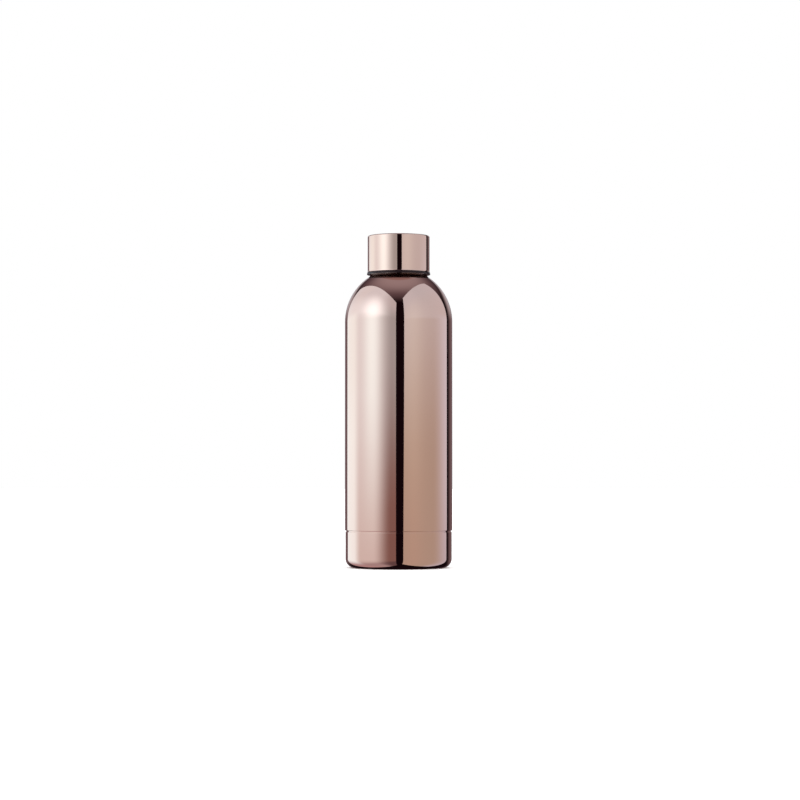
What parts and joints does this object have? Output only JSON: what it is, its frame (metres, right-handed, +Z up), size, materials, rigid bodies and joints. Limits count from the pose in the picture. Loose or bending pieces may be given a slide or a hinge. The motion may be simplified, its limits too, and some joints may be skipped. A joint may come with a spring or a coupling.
{
  "type": "insulated water bottle",
  "caption": "Slim double-walled vacuum water bottle in mirror-polished copper plate, with a domed shoulder, a seamed base cup and a plain cylindrical screw cap.",
  "frame": {"origin": "centre of the foot ring, on the surface that the bottle stands on", "axes": "+Z up along the bottle's axis, towards the cap; +X at the start of both thread ridges"},
  "size_m": [0.0782, 0.0782, 0.242],
  "materials": {
    "copper_plate": "mirror-polished copper plating on stainless sheet",
    "bare_steel": "satin stainless sheet",
    "copper_foil": "thin rolled copper",
    "cap_plastic": "moulded black polypropylene, fine matte",
    "silicone": "translucent white silicone",
    "foam": "closed-cell insulating foam",
    "solder_glass": "fused solder glass",
    "getter_alloy": "pressed and sintered metal powder"
  },
  "bodies": {
    "bottle": {"outer_shell": "copper_plate", "base_cup": "copper_plate", "vacuum_closure": "bare_steel", "glass_seal": "solder_glass", "getter_pellet": "getter_alloy", "getter_holder": "bare_steel", "liner_body": "bare_steel", "liner_bottom": "bare_steel", "copper_lining": "copper_foil"},
    "seal": {"cap_seal": "silicone"},
    "cap": {"cap_shell": "copper_plate", "threaded_sleeve": "cap_plastic", "cap_plug": "cap_plastic", "cap_foam": "foam"}
  },
  "joints": [
    {"name": "cap_rise", "type": "slide", "parent": "bottle", "child": "seal", "axis": [0, 0, 1], "range_m": [0, 0.06]},
    {"name": "cap_turn", "type": "hinge", "parent": "seal", "child": "cap", "pos_m": [0, 0, 0.228], "axis": [0, 0, 1], "range_deg": [0, 5400]}
  ],
  "couplings": [
    {"joint": "cap_rise", "follows": "cap_turn", "m_per_rad": 0.00063662}
  ]
}
